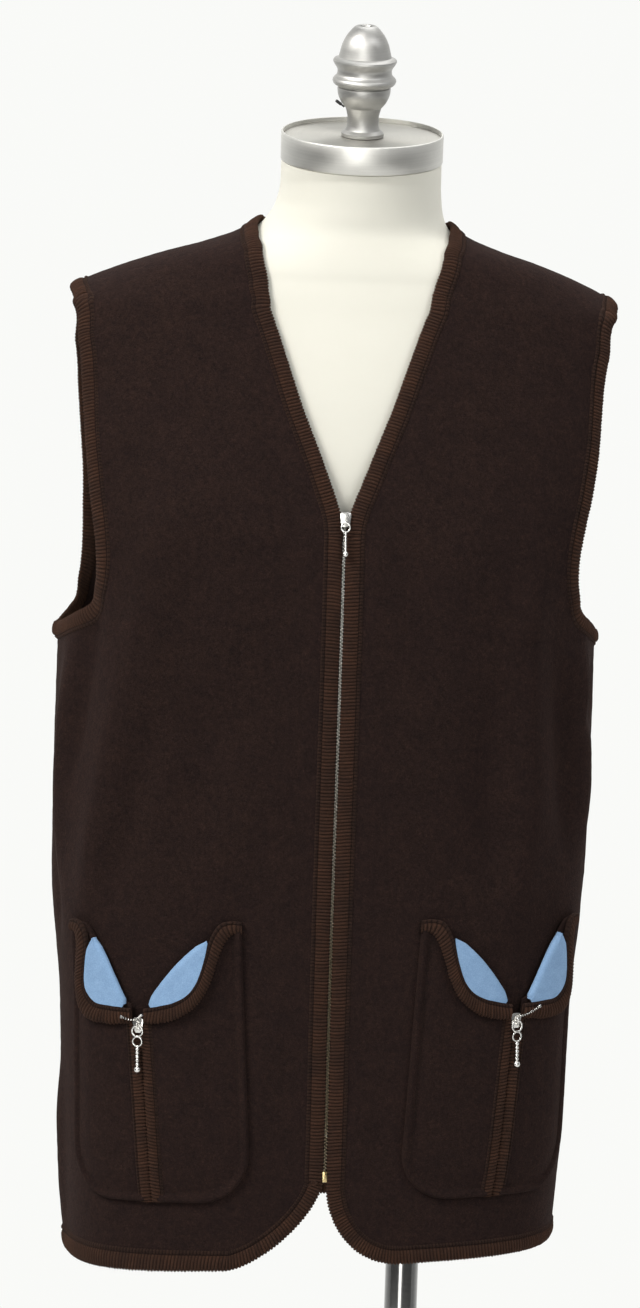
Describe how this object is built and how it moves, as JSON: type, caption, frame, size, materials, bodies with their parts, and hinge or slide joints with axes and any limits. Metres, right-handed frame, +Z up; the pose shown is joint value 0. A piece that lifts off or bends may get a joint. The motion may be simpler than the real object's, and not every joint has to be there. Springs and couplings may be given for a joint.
{
  "type": "wool vest on a dress form",
  "caption": "Sleeveless wool vest with V neck, front zip and patch pockets with turned-out lapels, worn by a limbless dress form with a neck cap, finial, pole and round base.",
  "frame": {"origin": "centre of the base's underside, on the floor", "axes": "+Z up; the vest's front faces -Y; the wearer's left is +X"},
  "size_m": [0.46, 0.46, 1.5519],
  "materials": {
    "wool": "matte boiled wool",
    "edging": "ribbed overlocked yarn",
    "felt": "light blue felt",
    "tape": "woven zip tape",
    "silver": "worn bright metal",
    "steel": "brushed",
    "jersey": "cream jersey cover",
    "black": "matte"
  },
  "bodies": {
    "root": {"armhole_trim_left": "edging", "armhole_trim_right": "edging", "back": "wool", "base": "steel", "finial": "steel", "finial_screw": "black", "front_left": "wool", "front_right": "wool", "front_trim_left": "edging", "front_trim_right": "edging", "hem_trim_back": "edging", "neck_cap_rim": "steel", "neck_cap_top": "jersey", "neck_trim_back": "edging", "pocket_left_inner": "wool", "pocket_left_inner_facing": "felt", "pocket_left_inner_lapel": "wool", "pocket_left_inner_lapel_trim": "edging", "pocket_left_inner_slit_trim": "edging", "pocket_left_outer": "wool", "pocket_left_outer_facing": "felt", "pocket_left_outer_lapel": "wool", "pocket_left_outer_lapel_trim": "edging", "pocket_left_outer_slit_trim": "edging", "pocket_left_slider": "silver", "pocket_right_inner": "wool", "pocket_right_inner_facing": "felt", "pocket_right_inner_lapel": "wool", "pocket_right_inner_lapel_trim": "edging", "pocket_right_inner_slit_trim": "edging", "pocket_right_outer": "wool", "pocket_right_outer_facing": "felt", "pocket_right_outer_lapel": "wool", "pocket_right_outer_lapel_trim": "edging", "pocket_right_outer_slit_trim": "edging", "pocket_right_slider": "silver", "pole": "steel", "pole_hub": "steel", "torso_form": "jersey", "zip_box": "silver", "zip_slider": "silver", "zip_tape_left": "tape", "zip_tape_right": "tape", "zip_teeth": "silver"},
    "front_pull": {"zip_pull": "silver"},
    "pocket_right_pull_body": {"pocket_right_pull": "silver"},
    "pocket_left_pull_body": {"pocket_left_pull": "silver"}
  },
  "joints": [
    {"name": "front_pull_swing", "type": "hinge", "parent": "root", "child": "front_pull", "pos_m": [-0.00342, -0.12841, 1.17159], "axis": [-0.9962, -0.0872, -0.0038], "range_deg": [0, 110]},
    {"name": "pocket_right_pull_swing", "type": "hinge", "parent": "root", "child": "pocket_right_pull_body", "pos_m": [-0.14831, -0.1316, 0.78703], "axis": [-0.9528, 0.3018, -0.0324], "range_deg": [0, 110]},
    {"name": "pocket_left_pull_swing", "type": "hinge", "parent": "root", "child": "pocket_left_pull_body", "pos_m": [0.13983, -0.10639, 0.79659], "axis": [-0.886, -0.4627, -0.0301], "range_deg": [0, 110]}
  ]
}
